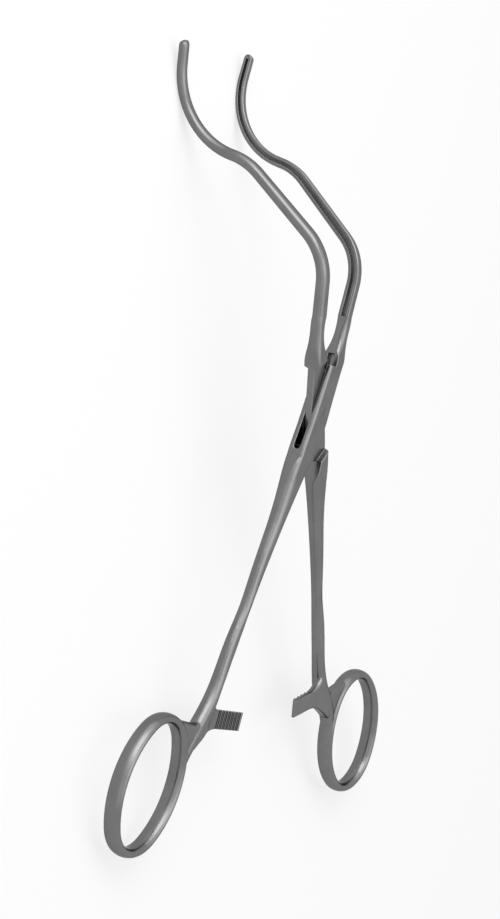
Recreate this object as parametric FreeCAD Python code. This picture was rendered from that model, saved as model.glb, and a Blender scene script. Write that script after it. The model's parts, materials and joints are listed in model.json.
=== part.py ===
"""Vascular clamp with a box lock: box half, blade half and pivot pin.

Work frame of the pieces (jaws closed): origin at the pivot, X across the two
halves, Y along the pivot axis, Z along the instrument with the jaws up.
The box half has its ring at -X and its jaw at +X, the blade half the mirror.
At the end both halves are opened and the clamp is laid down on its rings and
on the belly of the jaws, the pivot axis nearly upright.
"""
import FreeCAD, Part
import math
import os

V = FreeCAD.Vector

# Pose
half_opening = 10.15        # each half turns this far from closed, degrees

# Box lock
box_thick = 5.0             # over both walls, along the pivot axis
blade_thick = 1.9           # middle layer that passes through the slot
slot_play = 0.05            # free space on each side of the blade
blade_reach = 10.3          # radius that bounds the free corners of the blade
slot_play_end = 0.25        # free space past those corners
wall_end = 12.2             # height where the left wall edge stops
root_gap = 0.45             # each jaw root stays this far off the mid plane
niche_half = 1.6            # relief beside the mid plane for the blade neck
niche_end = 15.6            # height of that relief
neck_play = 0.3             # free space beside the blade neck
shoulder_reach = 4.2        # outer end of the upper shoulder, off the mid plane
shoulder_outer = 12.0       # height of the upper shoulder at its outer end
shoulder_inner = 13.3       # height of the upper shoulder at its inner end
heel_reach = 5.3            # outer end of the lower shoulder, off the mid plane
heel_inner = 1.45           # inner end of the lower shoulder, off the mid plane
heel_outer_z = -11.6        # level of the lower shoulder at its outer end
heel_inner_z = -14.1        # level of the lower shoulder at its inner end
heel_end_z = -20.2          # level where the two shanks part
heel_end_gap = 0.15         # blade side of that parting line
shoulder_bevel = 0.5        # slope of the shoulders over the cheek height
box_corner = 0.9            # rounding along the box

# Pivot pin
pin_radius = 1.5
pin_play = 0.04

# Jaws
jaw_start = 26.0            # height where the gripping face starts
jaw_width = 3.3             # across the bend plane, at the start
jaw_depth = 3.3             # along X, at the start
tip_width = 2.55
tip_depth = 2.3
jaw_inset = 1.25            # gripping face off the mid plane, at the start
tip_inset = 0.06            # the tips meet first
face_corner = 0.4
straight_1 = 8.8
bend_1_radius = 15.5
bend_1 = 52.0
straight_2 = 21.0
bend_2_radius = 17.9
bend_2 = 29.6
bend_3_radius = 21.3
bend_3 = 82.9
straight_3 = 5.2
groove_width = 1.25         # groove in the box half's face, at the start
groove_tip_width = 0.8
groove_depth = 0.8
rib_play = 0.2              # free space on each side of the rib in the groove
rib_height = 0.4
rib_stop = 0.8              # the rib ends this far before the tip

# Bar rows of the box half, from the ring up to the jaw
shank_round = 0.46          # corner radius as a share of the smaller side
shank_rows = (              # height, centre, width, thickness
    (-100.5, -22.75, 1.9, 3.3), (-97.0, -22.5, 2.95, 3.9),
    (-94.5, -21.9, 4.2, 4.2), (-90.0, -19.5, 5.2, 4.3), (-86.0, -17.35, 5.1, 4.2),
    (-82.0, -15.75, 4.2, 4.1), (-72.0, -13.4, 3.6, 3.6), (-60.0, -10.95, 3.35, 3.25),
    (-48.0, -8.6, 3.4, 3.3), (-36.0, -6.25, 4.3, 3.7), (-25.0, -4.15, 5.7, 4.4))
box_rows = (                # height, left side, right side
    (-13.5, -5.3, 1.0), (-9.0, -4.75, 2.4), (-4.5, -4.0, 3.7), (0.0, -3.5, 3.95),
    (4.5, -3.0, 4.1), (9.0, -2.5, 4.3), (13.5, -1.7, 4.65))
root_rows = (               # height, left side, right side, thickness, corner radius
    (16.5, 0.55, 4.75, 4.4, 1.1), (19.5, 1.2, 4.68, 3.75, 1.3), (22.5, 1.4, 4.6, 3.4, 1.1))

# Finger rings
ring_x = 36.1               # centre off the mid plane, clamp closed
ring_z = -103.9
ring_short = 13.4           # half of the short axis, to the bar centre
ring_long = 17.6            # half of the long axis
ring_end_radius = 11.2
ring_lean = 9.4             # long axis leans in at the top, degrees
ring_bar = 1.35             # half of the bar in the ring plane
ring_bar_thick = 2.4        # half of the bar along the pivot axis
web_level = -87.0           # upper edge of the web between ring and shank
web_rise = 2.0              # it curves up this much onto the shank
web_run = 2.0               # and starts to curve this far from the shank
web_ring = 72.0             # where it starts in the ring bar, degrees up the ring's end arc
web_half = 1.8              # half of the web along the pivot axis
web_round = 1.3

# Ratchet
arm_tip_top = -83.2
arm_tip_low = -88.2
arm_reach = 5.6             # box half arm, past the mid plane, clamp closed
blade_arm_reach = -0.1      # blade half arm, past the mid plane, clamp closed
arm_thick = 2.0
arm_tip_thick = 1.5
arm_gap = 0.15              # tooth tips of the box half arm to the middle plane
blade_arm_gap = 0.25        # the same for the blade half
tooth_corner = 0.3          # rounding on the toothed side of the arm
back_corner = 0.9           # rounding on its back
tooth_end = -9.4            # the teeth stop at this distance from the mid plane
tooth_pitch = 1.8
tooth_depth = 0.6
flare_rows = (              # side, low, top, front ahead of the toothed side, corner radius
    (-8.0, -88.25, -83.1, 0.0, 0.3), (-9.5, -88.4, -83.0, 0.0, 0.3),
    (-11.0, -88.75, -82.5, 0.1, 0.35), (-12.5, -89.35, -81.6, 0.35, 0.5),
    (-14.0, -90.2, -80.5, 0.8, 0.7), (-15.5, -91.2, -81.3, 1.25, 0.9),
    (-17.0, -92.3, -84.5, 1.5, 1.0), (-18.4, -93.4, -88.0, 1.65, 1.0),
    (-19.6, -94.5, -91.0, 1.65, 1.0))


def line(a, b):
    return Part.LineSegment(a, b).toShape()


def arc(a, m, b):
    return Part.Arc(a, m, b).toShape()


def bar_section(z, x_a, x_b, thick, r_a, r_b):
    """Rounded rectangle in the plane at height z, from x_a to x_b."""
    t = thick / 2
    a_in = r_a * (1 - math.sqrt(0.5))
    b_in = r_b * (1 - math.sqrt(0.5))
    corners = (V(x_a + a_in, a_in - t, z), V(x_b - b_in, b_in - t, z),
               V(x_b - b_in, t - b_in, z), V(x_a + a_in, t - a_in, z))
    p = (V(x_a, t - r_a, z), V(x_a, r_a - t, z), V(x_a + r_a, -t, z), V(x_b - r_b, -t, z),
         V(x_b, r_b - t, z), V(x_b, t - r_b, z), V(x_b - r_b, t, z), V(x_a + r_a, t, z))
    edges = []
    for i in range(4):
        edges.append(line(p[2 * i], p[2 * i + 1]))
        edges.append(arc(p[2 * i + 1], corners[i], p[(2 * i + 2) % 8]))
    return Part.Wire(edges)


def prism(points, y_low, y_high):
    """Plate with a polygon outline in XZ between two Y levels."""
    pts = [V(x, y_low, z) for x, z in points]
    face = Part.Face(Part.makePolygon(pts + pts[:1]))
    return face.extrude(V(0, y_high - y_low, 0))


def body_bar():
    """Shank, box and jaw root of the box half, each a smooth bar."""
    shank = []
    for z, x, wide, thick in shank_rows:
        r = shank_round * min(wide, thick)
        shank.append(bar_section(z, x - wide / 2, x + wide / 2, thick, r, r))
    box = [bar_section(z, left, right, box_thick, box_corner, box_corner) for z, left, right in box_rows]
    root = [box[-1]]
    for z, left, right, thick, r in root_rows:
        root.append(bar_section(z, left, right, thick, r, r))
    root.append(jaw_foot())
    parts = [Part.makeLoft(wires, True, False) for wires in (shank + box[:1], box, root)]
    return parts[0].fuse(parts[1]).fuse(parts[2])


def shank_side(z, side):
    """Edge of the shank at height z: side -1 is the ring side, 1 faces the other half."""
    for (z_a, x_a, w_a, _), (z_b, x_b, w_b, _) in zip(shank_rows, shank_rows[1:]):
        if z_a <= z <= z_b:
            part = (z - z_a) / (z_b - z_a)
            return x_a + part * (x_b - x_a) + side * (w_a + part * (w_b - w_a)) / 2
    raise ValueError("no shank at height %s" % z)


def jaw_path(last=straight_3):
    """Jaw centre line in the YZ plane, and its end pose."""
    edges = []
    y, z, h = 0.0, jaw_start, 0.0

    def run(length):
        nonlocal y, z
        a = V(0, y, z)
        y += length * math.sin(h)
        z += length * math.cos(h)
        edges.append(line(a, V(0, y, z)))

    def bend(radius, degrees):
        nonlocal y, z, h
        side = 1 if degrees > 0 else -1
        turn = math.radians(degrees)
        cy = y + side * radius * math.cos(h)
        cz = z - side * radius * math.sin(h)
        pts = []
        for part in (0, 0.5, 1):
            g = h + part * turn
            pts.append(V(0, cy - side * radius * math.cos(g), cz + side * radius * math.sin(g)))
        edges.append(arc(*pts))
        y, z, h = pts[2].y, pts[2].z, h + turn

    run(straight_1)
    bend(bend_1_radius, bend_1)
    run(straight_2)
    bend(bend_2_radius, bend_2)
    bend(bend_3_radius, -bend_3)
    run(last)
    return Part.Wire(edges), y, z, h


def at_tip(shape, y, z, h):
    """Move a section drawn at the origin to the end of the jaw path."""
    moved = shape.copy()
    moved.rotate(V(0, 0, 0), V(1, 0, 0), -math.degrees(h))
    moved.translate(V(0, y, z))
    return moved


def swept(first, last, path):
    shell = Part.BRepOffsetAPI.MakePipeShell(path)
    shell.setBiNormalMode(V(1, 0, 0))
    shell.add(first, False, False)
    shell.add(last, False, False)
    shell.build()
    shell.makeSolid()
    return shell.shape()


def tip_section(z, scale):
    w = tip_width * scale
    d = tip_depth * scale
    return bar_section(z, tip_inset, tip_inset + d, w, face_corner * scale, shank_round * w)


def jaw_foot():
    """Section where the jaw leaves its root."""
    outer = jaw_inset + jaw_depth
    return bar_section(jaw_start, jaw_inset, outer, jaw_width, face_corner, shank_round * jaw_width)


def jaw():
    """Swept gripping part with a rounded tip."""
    path, y, z, h = jaw_path()
    body = swept(jaw_foot(), at_tip(tip_section(0, 1.0), y, z, h), path)
    half = tip_width / 2
    rows = ((0, 1.0), (0.5, 0.87), (0.8, 0.6), (0.95, 0.32))
    cap = [at_tip(tip_section(half * reach, size), y, z, h) for reach, size in rows]
    return body.fuse(Part.makeLoft(cap, True, False))


def face_strip(narrower, low, high, last):
    """Strip along the gripping face, from low to high in X off that face."""
    path, y, z, h = jaw_path(last)

    def box(inset, half, height):
        p = [V(inset + low, -half, height), V(inset + high, -half, height),
             V(inset + high, half, height), V(inset + low, half, height)]
        return Part.makePolygon(p + p[:1])

    first = box(jaw_inset, groove_width / 2 - narrower, jaw_start)
    return swept(first, at_tip(box(tip_inset, groove_tip_width / 2 - narrower, 0), y, z, h), path)


def ring():
    """Oval finger ring of round bar, four tangent arcs."""
    end = ring_end_radius
    a = ring_long - end
    side = (ring_short ** 2 - end ** 2 + a ** 2) / (2 * (ring_short - end))
    reach = side - ring_short
    half = math.degrees(math.atan2(reach, a))
    parts = []
    for cx, cz, radius, mid, spread in ((0, a, end, 90, half), (0, -a, end, 270, half),
                                        (-reach, 0, side, 0, 90 - half),
                                        (reach, 0, side, 180, 90 - half)):
        oval = Part.Ellipse(V(radius, ring_bar_thick, 0), V(radius + ring_bar, 0, 0), V(radius, 0, 0))
        bar = Part.Face(Part.Wire(oval.toShape()))
        turn = bar.revolve(V(0, 0, 0), V(0, -1, 0), 2 * spread)
        turn.rotate(V(0, 0, 0), V(0, -1, 0), mid - spread)
        turn.translate(V(cx, 0, cz))
        parts.append(turn)
    whole = parts[0].multiFuse(parts[1:]).removeSplitter()
    whole.rotate(V(0, 0, 0), V(0, 1, 0), ring_lean)
    whole.translate(V(-ring_x, 0, ring_z))
    return whole


def ring_point(degrees, radius):
    """Point off the centre of the ring's upper end arc, clamp closed."""
    a = ring_long - ring_end_radius
    lean = math.radians(ring_lean)
    turn = math.radians(degrees)
    return V(a * math.sin(lean) - ring_x + radius * math.cos(turn), 0,
             a * math.cos(lean) + ring_z + radius * math.sin(turn))


def ring_web():
    """Filled corner between the ring and the outside of the shank, with a round upper edge."""
    bar = ring_end_radius
    end_z = web_level + web_rise
    start = ring_point(web_ring, bar + ring_bar / 2)
    turn = V(shank_side(web_level, -1) - web_run, 0, web_level)
    end = V(shank_side(end_z, -1) + 0.4, 0, end_z)
    mid = V((turn.x + 2 * end.x) / 3, 0, (3 * web_level + end_z) / 4)
    inside = [end, V(shank_side(end_z - 6, 0), 0, end_z - 6), ring_point(0, bar + 0.3)]
    inside += [ring_point(degrees, bar) for degrees in (18, 36, 50)] + [start]
    edges = [line(start, turn), arc(turn, mid, end)] + [line(a, b) for a, b in zip(inside, inside[1:])]
    plate = Part.Face(Part.Wire(edges))
    plate.translate(V(0, -web_half, 0))
    plate = plate.extrude(V(0, 2 * web_half, 0))
    upper = []
    for edge in plate.Edges:
        low, high = edge.BoundBox.ZMin, edge.BoundBox.ZMax
        if edge.BoundBox.YLength < 0.01 and (isinstance(edge.Curve, Part.Circle) or low > web_level - 0.01):
            upper.append(edge)
    return plate.makeFillet(web_round, upper)


def arm_section(x, low, top, front, back, r_front, r_back):
    """Rounded rectangle in the plane at x, from low to top and front to back."""
    wire = bar_section(x, front, back, top - low, r_front, r_back)
    wire.rotate(V(0, 0, 0), V(1, 1, 1), 120)
    wire.translate(V(0, 0, (low + top) / 2))
    return wire


def ratchet_arm(reach, gap):
    """Arm behind the middle plane with a flared root, and its tooth cuts facing -Y."""
    back = gap + arm_thick
    rows = [arm_section(x, low, top, gap - ahead, back, r, back_corner)
            for x, low, top, ahead, r in flare_rows]
    tip = arm_section(reach, arm_tip_low, arm_tip_top, gap, gap + arm_tip_thick, tooth_corner,
                      back_corner * arm_tip_thick / arm_thick / 2)
    plate = Part.makeLoft([rows[0], tip], True, True)
    root = Part.makeLoft(rows[::-1], True, False)
    cuts = []
    low = arm_tip_low - tooth_depth
    for i in range(int((reach - tooth_end) / tooth_pitch)):
        x = reach - tooth_pitch * i
        p = [V(x - tooth_pitch, gap - 1, low), V(x - tooth_pitch, gap, low),
             V(x, gap + tooth_depth, low), V(x, gap - 1, low)]
        cut = Part.Face(Part.makePolygon(p + p[:1]))
        cuts.append(cut.extrude(V(0, 0, arm_tip_top + tooth_depth - low)))
    return plate.fuse(root), cuts


def mirrored(shape):
    return shape.mirror(V(0, 0, 0), V(1, 0, 0))


def turned(shape):
    """Half turn about the long axis: swaps sides and faces."""
    copy = shape.copy()
    copy.rotate(V(0, 0, 0), V(0, 0, 1), 180)
    return copy


def plain_half():
    """Ring, shank, box and jaw of the box half, before lock and ratchet are cut."""
    return ring().fuse(body_bar()).fuse(jaw()).fuse(ring_web())


def box_half():
    arm, teeth = ratchet_arm(arm_reach, arm_gap)
    body = plain_half().fuse(arm)
    s = blade_thick / 2 + slot_play
    reach = blade_reach + slot_play_end
    wide = 2 * box_thick
    slot = Part.makeBox(2 * wide, 2 * s, 2 * reach, V(-wide, -s, -reach))
    ends = [Part.makeCylinder(s, 2 * wide, V(-wide, 0, side * reach), V(1, 0, 0)) for side in (1, -1)]
    niche = prism([(-wide, 0), (niche_half, 0), (niche_half, niche_end), (-wide, niche_end)], -s, s)
    under = prism([(wide, 0), (-niche_half, 0), (-niche_half, -niche_end), (wide, -niche_end)], -s, s)
    crotch = prism([(-wide, wall_end), (root_gap, wall_end), (root_gap, 25), (-wide, 25)], -wide, wide)
    bore = Part.makeCylinder(pin_radius, box_thick + 2, V(0, -box_thick / 2 - 1, 0), V(0, 1, 0))
    groove = face_strip(0.0, -1.0, groove_depth, straight_3)
    for tool in [slot, *ends, niche, under, crotch, bore, groove, *teeth]:
        body = body.cut(tool)
    return body


def blade_half():
    arm, teeth = ratchet_arm(blade_arm_reach, blade_arm_gap)
    arm, teeth = turned(arm), [turned(t) for t in teeth]
    rib = mirrored(face_strip(rib_play, -rib_height, 0.3, straight_3 - rib_stop))
    body = mirrored(plain_half()).fuse(arm).fuse(rib)
    far = 2 * box_thick
    rise = (shoulder_inner - shoulder_outer) / (shoulder_reach - root_gap)
    fall = (heel_outer_z - heel_inner_z) / (heel_reach - heel_inner)
    t = blade_thick / 2

    def cheek(grow, y):
        """Outline ground off one side of the blade, larger towards the outside."""
        pts = [(-far, shoulder_outer + grow - rise * (far - shoulder_reach)),
               (-root_gap, shoulder_inner + grow), (-root_gap, 22), (far, 22),
               (far, heel_outer_z - grow + fall * (far - heel_reach)),
               (heel_inner, heel_inner_z - grow), (heel_end_gap, heel_end_z), (-far, heel_end_z)]
        p = [V(x, y, z) for x, z in pts]
        return Part.makePolygon(p + p[:1])

    edge = box_thick / 2 + 0.1
    front = Part.makeLoft([cheek(0, -t), cheek(shoulder_bevel, -edge)], True, True)
    back = Part.makeLoft([cheek(0, t), cheek(shoulder_bevel, edge)], True, True)
    over = prism([(-root_gap, shoulder_inner), (far, shoulder_inner), (far, 22), (-root_gap, 22)], -far, far)
    under = prism([(heel_inner, heel_inner_z), (heel_end_gap, heel_end_z), (-far, heel_end_z),
                   (-far, heel_inner_z)], -far, far)
    neck = niche_half - neck_play
    disc = Part.makeCylinder(blade_reach, box_thick + 2, V(0, -box_thick / 2 - 1, 0), V(0, 1, 0))
    corners = []
    for side, end in ((1, shoulder_inner + 0.1), (-1, heel_inner_z - 0.1)):
        outline = [(side * neck, 0), (side * far, 0), (side * far, end), (side * neck, end)]
        block = prism(outline, -t - 0.1, t + 0.1)
        corners.append(block.cut(disc))
    bore = Part.makeCylinder(pin_radius + pin_play, box_thick + 2, V(0, -box_thick / 2 - 1, 0), V(0, 1, 0))
    for tool in (front, back, over, under, *corners, bore, *teeth):
        body = body.cut(tool)
    return body


def pivot_pin():
    return Part.makeCylinder(pin_radius, box_thick, V(0, -box_thick / 2, 0), V(0, 1, 0))


def lie_angle():
    """Slope of the long axis when rings and jaw bellies touch the table."""
    half = math.radians(half_opening)
    edges, y, z, h = jaw_path()
    lean = 0.2
    lean_open = math.radians(ring_lean) + half
    for _ in range(20):
        g = lean
        end = bend_3_radius
        c_y = y - straight_3 * math.sin(h) - end * math.cos(h)
        c_z = z - straight_3 * math.cos(h) + end * math.sin(h)
        belly_y = c_y + (end + tip_width / 2) * math.cos(g)
        belly_z = (c_z - (end + tip_width / 2) * math.sin(g)) * math.cos(half)
        low = ring_z * math.cos(half) - ring_x * math.sin(half) - ring_long * math.cos(lean_open)
        lean = math.atan2(belly_y - ring_bar_thick, belly_z - low)
    return math.degrees(lean)


def main():
    os.makedirs("parts", exist_ok=True)
    slope = lie_angle()
    parts = {"box_half": box_half(), "blade_half": blade_half(), "pivot_pin": pivot_pin()}
    parts["box_half"].rotate(V(0, 0, 0), V(0, 1, 0), half_opening)
    parts["blade_half"].rotate(V(0, 0, 0), V(0, 1, 0), -half_opening)
    for shape in parts.values():
        shape.rotate(V(0, 0, 0), V(1, 0, 0), slope - 90)
    bound = FreeCAD.BoundBox()
    for shape in parts.values():
        bound.add(shape.optimalBoundingBox(False))
    shift = V(-bound.Center.x, -bound.Center.y, -bound.ZMin)
    for name, shape in parts.items():
        shape.translate(shift)
        print(name, len(shape.Solids), shape.isValid(), round(shape.Volume, 1))
        shape.exportStep("parts/" + name + ".step")


main()
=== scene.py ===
# %% [markdown]
# A vascular clamp, dressed for a studio picture
#
# The clamp is a long, slim surgical instrument of satin stainless steel. Two halves cross in a box lock: one half
# is split into two walls, the other passes between them as a flat blade, and a pin holds both. Below the lock the
# shanks end in finger rings with a small ratchet between them. Above it the jaws bend down and up again, so that
# they can be laid round a vessel deep in the body.
#
# The solid parts come from a fixed frame, already at their real size. This lesson gives them their steel, rows of
# fine teeth on the gripping faces, a table, light and a camera.

# %% Load the frame
import json
import math

import bmesh
import bpy
from mathutils import Matrix, Vector
from mathutils.bvhtree import BVHTree


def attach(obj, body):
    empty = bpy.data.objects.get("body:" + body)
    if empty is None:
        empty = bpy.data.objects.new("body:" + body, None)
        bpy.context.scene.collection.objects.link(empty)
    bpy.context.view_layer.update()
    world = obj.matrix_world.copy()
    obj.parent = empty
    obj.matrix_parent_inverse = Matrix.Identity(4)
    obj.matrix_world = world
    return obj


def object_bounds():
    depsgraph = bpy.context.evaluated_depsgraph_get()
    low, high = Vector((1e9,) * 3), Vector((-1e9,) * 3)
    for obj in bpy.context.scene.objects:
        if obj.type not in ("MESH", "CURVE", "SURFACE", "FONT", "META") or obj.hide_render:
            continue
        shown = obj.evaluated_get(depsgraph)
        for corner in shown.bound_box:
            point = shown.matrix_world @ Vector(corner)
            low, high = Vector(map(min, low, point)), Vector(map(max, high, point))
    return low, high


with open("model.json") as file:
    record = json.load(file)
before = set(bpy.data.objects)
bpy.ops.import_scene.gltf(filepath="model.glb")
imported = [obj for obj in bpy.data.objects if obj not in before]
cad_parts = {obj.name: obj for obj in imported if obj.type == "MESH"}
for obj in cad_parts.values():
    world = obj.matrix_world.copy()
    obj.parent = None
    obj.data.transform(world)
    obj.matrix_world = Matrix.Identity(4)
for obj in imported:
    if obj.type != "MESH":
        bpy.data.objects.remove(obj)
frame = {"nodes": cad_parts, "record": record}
nodes = frame["nodes"]
cad_low, cad_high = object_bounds()
MM = 0.001
print("nodes:", sorted(nodes))
print("size in mm:", [round(v / MM, 1) for v in cad_high - cad_low])

# %% [markdown]
# The camera stands on the clamp's left, a third of a metre above the table, and is rolled a quarter turn, so
# that the long instrument runs up the tall picture. A camera can be turned with angles, but three directions say
# more: where it stands, where it looks, and which way is up in the picture. A matrix whose columns are right, up
# and backward does the rest. The lens is long, because the clamp shows little perspective.

# %% Camera
CAMERA_PLACE = Vector((-549.6, 4.4, 333.8)) * MM
CAMERA_AIM = Vector((-9.3, -6.5, 15.6)) * MM
PICTURE_UP = Vector((0.0286, 0.9995, 0.0142))
LENS = 92.4
NEAREST, FARTHEST = 0.01, 20.0      # what the camera can see, in metres

forward = (CAMERA_AIM - CAMERA_PLACE).normalized()
right = forward.cross(PICTURE_UP).normalized()
up = right.cross(forward)
camera_data = bpy.data.cameras.new("camera")
camera_data.lens = LENS
camera_data.clip_start = NEAREST
camera_data.clip_end = FARTHEST
camera = bpy.data.objects.new("camera", camera_data)
camera.matrix_world = Matrix((
    (right.x, up.x, -forward.x, CAMERA_PLACE.x),
    (right.y, up.y, -forward.y, CAMERA_PLACE.y),
    (right.z, up.z, -forward.z, CAMERA_PLACE.z),
    (0, 0, 0, 1),
))
bpy.context.scene.collection.objects.link(camera)
bpy.context.scene.camera = camera
bpy.context.scene.view_settings.view_transform = "Standard"
print("camera looks", [round(v, 3) for v in forward])

# %% [markdown]
# Materials are built from nodes. A few small helpers keep the later cells short: one adds a node and sets its
# sockets by name, one does a sum, one stretches a value from one span to another, and one makes an empty material.

# %% Helpers for node materials
def add_node(tree, kind, **sockets):
    """Add a node and set its sockets. An underscore in a socket's name stands for a space."""
    node = tree.nodes.new(kind)
    for name, value in sockets.items():
        node.inputs[name.replace("_", " ")].default_value = value
    return node


def feed(tree, value, socket):
    """Give a socket a plain number, or link another socket to it."""
    if isinstance(value, (int, float)):
        socket.default_value = value
    else:
        tree.links.new(value, socket)


def add_math(tree, operation, first, second):
    node = tree.nodes.new("ShaderNodeMath")
    node.operation = operation
    feed(tree, first, node.inputs[0])
    feed(tree, second, node.inputs[1])
    return node.outputs[0]


def remap(tree, value, old_span, new_span):
    node = add_node(tree, "ShaderNodeMapRange", From_Min=old_span[0], From_Max=old_span[1])
    tree.links.new(value, node.inputs["Value"])
    feed(tree, new_span[0], node.inputs["To Min"])
    feed(tree, new_span[1], node.inputs["To Max"])
    return node.outputs[0]


def empty_material(name):
    material = bpy.data.materials.new(name)
    material.use_nodes = True
    material.node_tree.nodes.clear()
    return material, material.node_tree


# %% [markdown]
# A studio picture has a white surround, but a surround that really shone that white would burn out every pale
# thing. The Light Path node tells what kind of ray asks. The camera, a mirror reflection and light that goes
# through glass "see" a thing, and for them it may be white. For all other rays it is a plain source of light.

# %% Who is looking
def seen_directly(tree):
    """1 for rays that look at a thing, 0 for rays that only gather its light."""
    path = add_node(tree, "ShaderNodeLightPath")
    looks = add_math(tree, "MAXIMUM", path.outputs["Is Camera Ray"], path.outputs["Is Glossy Ray"])
    return add_math(tree, "MAXIMUM", looks, path.outputs["Is Transmission Ray"])


# %% [markdown]
# The table is one large plain sheet. Two thirds of the white that the camera sees are plain glow, and the rest is
# light on a grey paint. The paint lets the clamp throw a soft shadow where it lies, and the glow keeps that shadow
# as faint as on a lit studio sweep.

# %% Table
TABLE_SIZE = 12.0
TABLE_TONE = 0.32
TABLE_GLOW = 0.67
TABLE_GAP = 0.02 * MM       # the clamp's lowest point is this far above the sheet

centre = (cad_low + cad_high) / 2
table_mesh = bpy.data.meshes.new("table")
table = bpy.data.objects.new("table", table_mesh)
sheet = bmesh.new()
bmesh.ops.create_grid(sheet, x_segments=1, y_segments=1, size=TABLE_SIZE / 2)
sheet.to_mesh(table_mesh)
sheet.free()
table.location = (centre.x, centre.y, cad_low.z - TABLE_GAP)
bpy.context.scene.collection.objects.link(table)


def table_material():
    material, tree = empty_material("white_table")
    link = tree.links.new
    output = add_node(tree, "ShaderNodeOutputMaterial")
    paint = add_node(tree, "ShaderNodeBsdfDiffuse", Color=(TABLE_TONE, TABLE_TONE, TABLE_TONE, 1))
    glow = add_node(tree, "ShaderNodeEmission", Color=(1, 1, 1, 1), Strength=TABLE_GLOW)
    both = add_node(tree, "ShaderNodeAddShader")
    pick = add_node(tree, "ShaderNodeMixShader")
    link(paint.outputs[0], both.inputs[0])
    link(glow.outputs[0], both.inputs[1])
    link(seen_directly(tree), pick.inputs[0])
    link(paint.outputs[0], pick.inputs[1])
    link(both.outputs[0], pick.inputs[2])
    link(pick.outputs[0], output.inputs["Surface"])
    return material


table_mesh.materials.append(table_material())
print("table top at z =", round(table.location.z / MM, 3), "mm")

# %% [markdown]
# Steel shows what stands round it, so its look is made by the surroundings more than by its own colour. The
# surroundings here are a white studio: whatever looks at the world sees plain white, while the light that it
# sheds is less than half as strong, so that pale things do not burn out.

# %% White surroundings
SKY_LIGHT = 0.38
SKY_SEEN = 1.0

world = bpy.data.worlds.new("white_studio")
world.use_nodes = True
bpy.context.scene.world = world
sky = world.node_tree
background = sky.nodes["Background"]
background.inputs["Color"].default_value = (1, 1, 1, 1)
feed(sky, remap(sky, seen_directly(sky), (0, 1), (SKY_LIGHT, SKY_SEEN)), background.inputs["Strength"])
print("the world sheds", SKY_LIGHT, "and shows", SKY_SEEN)

# %% [markdown]
# Five soft boxes do the drawing. A broad one past the jaw tips, with a smaller and brighter one before it, lights
# all that turns towards the tips. The wide one overhead lifts the upper faces over the sides, a narrower one below
# it draws the bright line along the shanks, and a weak one behind the camera lifts the faces that look at it.
# Large boxes blur the edges of the bright lines, as the satin finish of the real thing does.

# %% Soft boxes
def soft_box(name, compass, height_angle, far, width, height, brightness):
    """Area lamp that faces the clamp. A brightness of 1 is as bright as white paper in full light."""
    data = bpy.data.lights.new(name, "AREA")
    data.shape = "RECTANGLE"
    data.size = width
    data.size_y = height
    data.energy = brightness * math.pi * width * height
    lamp = bpy.data.objects.new(name, data)
    turn, rise = math.radians(compass), math.radians(height_angle)
    outward = Vector((math.cos(turn) * math.cos(rise), math.sin(turn) * math.cos(rise), math.sin(rise)))
    lamp.location = centre + outward * far
    lamp.rotation_euler = (-outward).to_track_quat("-Z", "Y").to_euler()
    bpy.context.scene.collection.objects.link(lamp)
    print(name, "gives", round(data.energy, 2), "W")


SOFT_BOXES = (          # name, compass and height angle in degrees, distance, width, height, brightness
    ("key_box", 114, 28, 1.0, 1.5, 1.05, 0.85),
    ("accent_box", 124, 34, 0.95, 0.6, 0.75, 2.0),
    ("over_box", 0, 90, 1.1, 1.3, 1.3, 0.65),
    ("ridge_box", 170, 80, 1.05, 0.5, 0.9, 0.8),
    ("fill_box", 178, 36, 1.0, 1.0, 1.1, 0.35),
)
for box in SOFT_BOXES:
    soft_box(*box)

# %% [markdown]
# Satin steel. The real one is ground, then brushed with fine wire or blasted with fine beads, so that light smears
# a little but the form still reads crisp. A metallic shader with a rather low roughness gives that, and five small
# things keep it from looking like plastic: soft edges, worn edges, painted shade in grooves, a cloudy gloss and
# brushed lines.
#
# The first is the rounding of the edges by the Bevel node, which doesn't touch the mesh. One rounding doesn't fit
# the whole clamp. The shanks are forged and soft, the teeth of the ratchet are cut crisper, and the jaws differ:
# one carries a sharp groove, the other is polished nearly round. So the rounding is worked out from the place on
# the clamp, with one value for the jaws and one near the ratchet arm.

# %% Soft edges
SHANK_ROUND = 0.5 * MM
TEETH_ROUND = 0.38 * MM
GROOVED_JAW_ROUND = 0.12 * MM
PLAIN_JAW_ROUND = 1.3 * MM
JAW_FROM, JAW_FULLY = 32 * MM, 40 * MM          # the jaws lie past this place along the table
ARM_REACH, ARM_FADE = 12 * MM, 2 * MM           # teeth are found within this distance of an arm's middle
NO_LIMIT = 1.0                                  # a radius so large that the smaller one always holds
BEVEL_SAMPLES = 8


def by_arm(tree, coordinates, arm_place, at_arm, elsewhere):
    """One value at the teeth of the ratchet, another on the rest of the half."""
    apart = add_node(tree, "ShaderNodeVectorMath")
    apart.operation = "DISTANCE"
    apart.inputs[1].default_value = arm_place
    tree.links.new(coordinates, apart.inputs[0])
    return remap(tree, apart.outputs["Value"], (ARM_REACH, ARM_REACH + ARM_FADE), (at_arm, elsewhere))


def soft_edges(tree, coordinates, jaw_round, arm_place):
    """The surface's normal with its edges rounded."""
    split = add_node(tree, "ShaderNodeSeparateXYZ")
    tree.links.new(coordinates, split.inputs[0])
    along_jaw = remap(tree, split.outputs["Y"], (JAW_FROM, JAW_FULLY), (SHANK_ROUND, jaw_round))
    near_arm = by_arm(tree, coordinates, arm_place, TEETH_ROUND, NO_LIMIT)
    bevel = add_node(tree, "ShaderNodeBevel")
    bevel.samples = BEVEL_SAMPLES
    tree.links.new(add_math(tree, "MINIMUM", along_jaw, near_arm), bevel.inputs["Radius"])
    return bevel.outputs[0]


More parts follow.
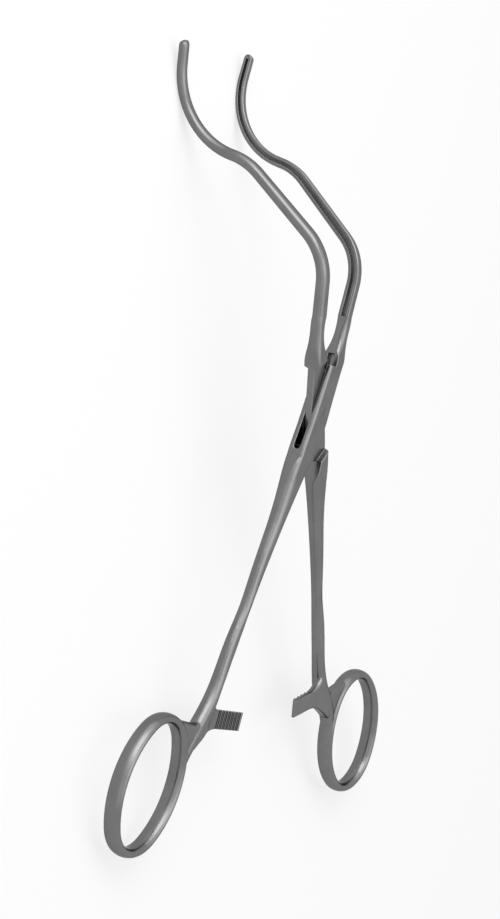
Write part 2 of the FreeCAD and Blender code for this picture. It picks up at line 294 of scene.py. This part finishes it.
print("edges are rounded by", [round(r / MM, 2) for r in (SHANK_ROUND, GROOVED_JAW_ROUND, PLAIN_JAW_ROUND)], "mm")

# %% [markdown]
# Edges are where years of handling show. They are rubbed a little brighter and smoother than the faces. No edge
# has to be painted: where the rounded normal leaves the plain one, there is an edge. The dot product of the two is
# 1 on a face and falls where they part.

# %% Worn edges
FACE_TO_EDGE = (0.995, 0.86)                    # the dot product on a face and on a worn edge
COLOUR_A, COLOUR_B, COLOUR_OUT = 6, 7, 2        # sockets of the Mix node when it mixes colours
BLUISH = 1.01                                   # blue over red and green


def wear(tree, soft_normal):
    """0 on faces, 1 on edges."""
    flat = add_node(tree, "ShaderNodeNewGeometry")
    turn = add_node(tree, "ShaderNodeVectorMath")
    turn.operation = "DOT_PRODUCT"
    tree.links.new(soft_normal, turn.inputs[0])
    tree.links.new(flat.outputs["Normal"], turn.inputs[1])
    return remap(tree, turn.outputs["Value"], FACE_TO_EDGE, (0.0, 1.0))


def worn_colour(tree, worn, tone, worn_tone):
    tones = add_node(tree, "ShaderNodeMix")
    tones.data_type = "RGBA"
    tones.inputs[COLOUR_A].default_value = (tone, tone, tone * BLUISH, 1)
    tones.inputs[COLOUR_B].default_value = (worn_tone, worn_tone, worn_tone * BLUISH, 1)
    tree.links.new(worn, tones.inputs[0])
    return tones.outputs[COLOUR_OUT]


# %% [markdown]
# In the grooves, shade is painted into the colour: the steel is darkened there, where the real grooves lie in
# shadow.
# The Ambient Occlusion node finds such places by how much of the surroundings they can see. Between the teeth of
# the ratchet the painted shade is kept weaker, because the teeth already hide much of each other.

# %% Painted shade in grooves
# How dark the painted shade gets in grooves and between the teeth of the ratchet.
PAINTED_GROOVE_SHADE = 0.3
PAINTED_TEETH_SHADE = 0.6
GROOVE_DEPTH = 1.1 * MM
CLOSED_TO_OPEN = (0.35, 0.85)       # share of its surroundings that a place can see
OCCLUSION_SAMPLES = 8


def painted_groove_shade(tree, coordinates, arm_place):
    """Painted shade: share of the colour that is left, 1 on open faces and less in grooves."""
    occlusion = add_node(tree, "ShaderNodeAmbientOcclusion", Distance=GROOVE_DEPTH)
    occlusion.samples = OCCLUSION_SAMPLES
    occlusion.only_local = True
    darkest = by_arm(tree, coordinates, arm_place, PAINTED_TEETH_SHADE, PAINTED_GROOVE_SHADE)
    return remap(tree, occlusion.outputs["AO"], CLOSED_TO_OPEN, (darkest, 1.0))


# %% [markdown]
# Two noises make the finish itself. A soft one, a few millimetres across, changes gloss and tone in clouds, where
# the polisher pressed more or less. A fine one is stretched along the instrument by a Mapping node, and as bump it
# gives the lines of the brush.

# %% Clouds and brushed lines
CLOUD_SCALE, CLOUD_DETAIL, CLOUD_MIX = 130.0, 3.0, 0.55
LINE_DETAIL, LINE_MIX = 3.0, 0.6
NOISE_SPAN = (0.3, 0.7)                 # nearly all of a noise lies in this span
MOTTLE = 0.09
BUMP_STRENGTH, BUMP_HEIGHT = 0.4, 0.03 * MM


def cloud_noise(tree, coordinates):
    clouds = add_node(tree, "ShaderNodeTexNoise", Scale=CLOUD_SCALE, Detail=CLOUD_DETAIL, Roughness=CLOUD_MIX)
    tree.links.new(coordinates, clouds.inputs["Vector"])
    return clouds.outputs[0]


def brushed_normal(tree, coordinates, soft_normal, line_scale):
    """The soft normal with fine lines on it."""
    stretch = add_node(tree, "ShaderNodeMapping")
    stretch.inputs["Scale"].default_value = line_scale
    lines = add_node(tree, "ShaderNodeTexNoise", Scale=1.0, Detail=LINE_DETAIL, Roughness=LINE_MIX)
    grain = add_node(tree, "ShaderNodeBump", Strength=BUMP_STRENGTH, Distance=BUMP_HEIGHT)
    tree.links.new(coordinates, stretch.inputs["Vector"])
    tree.links.new(stretch.outputs[0], lines.inputs["Vector"])
    tree.links.new(lines.outputs[0], grain.inputs["Height"])
    tree.links.new(soft_normal, grain.inputs["Normal"])
    return grain.outputs[0]


# %% [markdown]
# Now the five things meet in one recipe. Colour is the worn tone, darkened by painted shade in grooves and mottled
# by the clouds.
# Roughness follows the clouds and drops on worn edges. The edge tint keeps bars seen at a slant from turning white.

# %% The steel recipe
EDGE_TINT = (0.6, 0.6, 0.6, 1)
RUBBED_SMOOTH = -0.04


def steel_material(name, tone, worn_tone, line_scale, roughness, jaw_round, arm_place):
    """Brushed steel: line_scale stretches the brushing, roughness is the span from smooth to matt."""
    material, tree = empty_material(name)
    link = tree.links.new
    output = add_node(tree, "ShaderNodeOutputMaterial")
    steel = add_node(tree, "ShaderNodeBsdfPrincipled", Metallic=1.0)
    steel.inputs["Specular Tint"].default_value = EDGE_TINT
    place = add_node(tree, "ShaderNodeTexCoord").outputs["Object"]

    soft_normal = soft_edges(tree, place, jaw_round, arm_place)
    worn = wear(tree, soft_normal)
    clouds = cloud_noise(tree, place)

    mottle = remap(tree, clouds, NOISE_SPAN, (1 - MOTTLE, 1 + MOTTLE))
    # Painted shade: the colour is darkened in grooves and between teeth, then mottled by the clouds.
    shaded = add_node(tree, "ShaderNodeVectorMath")
    shaded.operation = "SCALE"
    link(worn_colour(tree, worn, tone, worn_tone), shaded.inputs[0])
    link(add_math(tree, "MULTIPLY", painted_groove_shade(tree, place, arm_place), mottle), shaded.inputs["Scale"])
    link(shaded.outputs[0], steel.inputs["Base Color"])

    gloss = remap(tree, clouds, NOISE_SPAN, roughness)
    rubbed = add_math(tree, "MULTIPLY", worn, RUBBED_SMOOTH)
    link(add_math(tree, "ADD", gloss, rubbed), steel.inputs["Roughness"])

    link(brushed_normal(tree, place, soft_normal, line_scale), steel.inputs["Normal"])
    link(steel.outputs[0], output.inputs["Surface"])
    return material


# %% [markdown]
# Both halves wear the same satin finish. Each gets its own copy, because the groove is on one jaw only, and
# because each has its ratchet arm in another place.

# %% Dress the two halves
def dress(name, material):
    """Give a frame node its finish; its mesh stays as it is."""
    slots = nodes[name].material_slots
    for slot in slots:
        slot.material = material
    print(name, "wears", material.name, "on", len(slots), "slot")


STEEL_TONE = 0.178
WORN_TONE = 0.21
SATIN = (0.17, 0.29)
ALONG = (4200, 160, 4200)       # noise cells per metre: a line is about 6 mm long and 0.24 mm wide
BOX_ARM = Vector((-21.0, -74.8, 11.9)) * MM
BLADE_ARM = Vector((23.0, -74.4, 12.0)) * MM
box_steel = steel_material(
    "satin_steel_box", STEEL_TONE, WORN_TONE, ALONG, SATIN, GROOVED_JAW_ROUND, BOX_ARM)
blade_steel = steel_material(
    "satin_steel_blade", STEEL_TONE, WORN_TONE, ALONG, SATIN, PLAIN_JAW_ROUND, BLADE_ARM)
dress("box_half", box_steel)
dress("blade_half", blade_steel)

# %% [markdown]
# The pivot pin is pressed through the box and ground flush with it, so only two small discs show. The grinding
# goes across the pin's end, its lines run another way than those of the walls, and the wheel leaves it a shade
# duller. It is the same kind of steel, so the same recipe serves with other numbers.

# %% Pin steel
PIN_TONE = 0.165
WORN_PIN_TONE = 0.2
GROUND = (0.24, 0.32)
ACROSS = (300, 5200, 5200)
NO_ARM = Vector((0, 0, 0))      # further from the pin than any tooth from its arm
pin_steel = steel_material("pin_steel", PIN_TONE, WORN_PIN_TONE, ACROSS, GROUND, SHANK_ROUND, NO_ARM)
dress("pivot_pin", pin_steel)

# %% [markdown]
# The gripping faces of such a clamp carry very fine teeth: two rows beside the groove of one jaw, and one row on
# the rib of the other, which sinks between them. A texture could fake them, but then the outline of the face
# would stay smooth. Each row is made here as one thin toothed strip that follows the jaw. The jaw is a chain of
# straight runs and arcs in one plane, so its centre line is easy to walk in steps of half a tooth.

# %% Walk along the jaw
JAW_START = 26.0            # all lengths here in mm
JAW_RUNS = (                # length of a run and its turn; a bend's length is its radius times its turn
    (8.8, 0.0),
    (15.5 * math.radians(52.0), 52.0),
    (21.0, 0.0),
    (17.9 * math.radians(29.6), 29.6),
    (21.3 * math.radians(82.9), -82.9),
    (5.2, 0.0),
)
TOOTH_PITCH = 0.6


def jaw_stations(step, skip_end):
    """Places along the jaw, as (share of the way, y, z, heading), with the clamp closed and upright."""
    total = sum(length for length, _ in JAW_RUNS)
    y, z, heading, walked = 0.0, JAW_START, 0.0, 0.0
    stations = []
    for length, degrees in JAW_RUNS:
        count = round(length / step)
        stride, turn = length / count, math.radians(degrees) / count
        for _ in range(count):
            stations.append((walked / total, y, z, heading))
            y += stride * math.sin(heading + turn / 2)
            z += stride * math.cos(heading + turn / 2)
            heading += turn
            walked += stride
    return [s for s in stations if (1 - s[0]) * total > skip_end]


print("stations along one jaw:", len(jaw_stations(TOOTH_PITCH / 2, 0)))

# %% [markdown]
# That walk is made with the clamp closed and standing on its rings, which is the simplest way to describe it. The
# clamp on the table lies on its side and is open. The hinge in the frame's record says where its pivot is and how
# far the pin leans, and each half is then swung by half of the opening.

# %% From the closed clamp to the open one
HALF_OPENING = math.radians(10.15)
BOX_SIDE, BLADE_SIDE = 1, -1

joint = frame["record"]["behaviour"]["joints"][0]
pivot = Vector(joint["pos_m"])
slope = math.asin(joint["axis"][1])


def half_frame(side):
    """From a closed, upright half in metres to where it lies."""
    lie = Matrix.Rotation(slope - math.pi / 2, 4, "X")
    return Matrix.Translation(pivot) @ lie @ Matrix.Rotation(side * HALF_OPENING, 4, "Y")


print("the pin leans by", round(math.degrees(slope), 2), "degrees")

# %% [markdown]
# At each step a ray is cast onto the jaw from just across the clamp's middle, and the strip is laid where the ray
# lands, with its underside a little below the surface. Every second station is lifted to the height of a tooth.
# The strip is closed on all sides, so that it is a small solid of its own, and the rows get finer towards the tip,
# as the jaw does.

# %% Toothed strips
RAY_BACK = 3.0              # mm; a ray starts this far on the other side of the middle plane
RAY_LENGTH = 12.0           # mm
STRIP_SINK = 0.12           # mm; the underside lies this deep in the jaw


def surface_depth(tree, to_world, side, y, z):
    """How far from the middle plane the jaw's gripping side lies at (y, z), in mm."""
    start = to_world @ (Vector((-RAY_BACK * side, y, z)) * MM)
    aim = to_world.to_3x3() @ Vector((side, 0, 0))
    *_, distance = tree.ray_cast(start, aim, RAY_LENGTH * MM)
    return distance / MM - RAY_BACK


def add_strip(shape, tree, side, row, skip_end):
    """One row of teeth. Its pairs give offset, half width and height at the jaw's start and tip, in mm."""
    to_world = half_frame(side)
    rings = []
    for number, (share, y, z, heading) in enumerate(jaw_stations(TOOTH_PITCH / 2, skip_end)):
        offset, half, height = (a + (b - a) * share for a, b in row)
        rise = height if number % 2 else 0.0
        across = Vector((0, math.cos(heading), -math.sin(heading)))
        ring = []
        for edge in (offset - half, offset + half):
            foot = Vector((0, y, z)) + across * edge
            depth = surface_depth(tree, to_world, side, foot.y, foot.z)
            for level in (depth - rise, depth + STRIP_SINK):
                ring.append(shape.verts.new(to_world @ (Vector((side * level, foot.y, foot.z)) * MM)))
        rings.append(ring)
    for (a, b, c, d), (e, f, g, h) in zip(rings, rings[1:]):
        for face in ((a, c, g, e), (b, f, h, d), (a, e, f, b), (c, d, h, g)):
            shape.faces.new(face)
    for a, b, c, d in (rings[0], rings[-1]):
        shape.faces.new((a, b, d, c))


def toothed_piece(name, carrier, body, side, rows, skip_end, material):
    tree = BVHTree.FromObject(nodes[carrier], bpy.context.evaluated_depsgraph_get())
    shape = bmesh.new()
    for row in rows:
        add_strip(shape, tree, side, row, skip_end)
    bmesh.ops.recalc_face_normals(shape, faces=shape.faces)
    mesh = bpy.data.meshes.new(name)
    shape.to_mesh(mesh)
    shape.free()
    mesh.materials.append(material)
    piece = bpy.data.objects.new(name, mesh)
    bpy.context.scene.collection.objects.link(piece)
    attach(piece, body)
    print(name, "has", len(mesh.polygons), "faces")


# %% [markdown]
# The grooved jaw gets a row on each side of its groove, and the other jaw one row along its rib. The rows stop
# short of the tips, which are polished smooth, so that they slide past tissue without catching.

# %% Teeth on both jaws
# Each pair is the value at the jaw's start and at its tip, in mm.
BESIDE_OFFSET, BESIDE_HALF_WIDTH, BESIDE_HEIGHT = (0.94, 0.63), (0.26, 0.18), (0.17, 0.085)
RIB_OFFSET, RIB_HALF_WIDTH, RIB_HEIGHT = (0.0, 0.0), (0.34, 0.14), (0.17, 0.12)
GROOVED_TIP, RIB_TIP = 1.2, 1.6         # smooth length at the tip

other_side = tuple(-v for v in BESIDE_OFFSET)
groove_rows = (
    (BESIDE_OFFSET, BESIDE_HALF_WIDTH, BESIDE_HEIGHT),
    (other_side, BESIDE_HALF_WIDTH, BESIDE_HEIGHT),
)
rib_rows = ((RIB_OFFSET, RIB_HALF_WIDTH, RIB_HEIGHT),)
toothed_piece("box_jaw_teeth", "box_half", "box_side", BOX_SIDE, groove_rows, GROOVED_TIP, box_steel)
toothed_piece("blade_jaw_teeth", "blade_half", "blade_side", BLADE_SIDE, rib_rows, RIB_TIP, blade_steel)
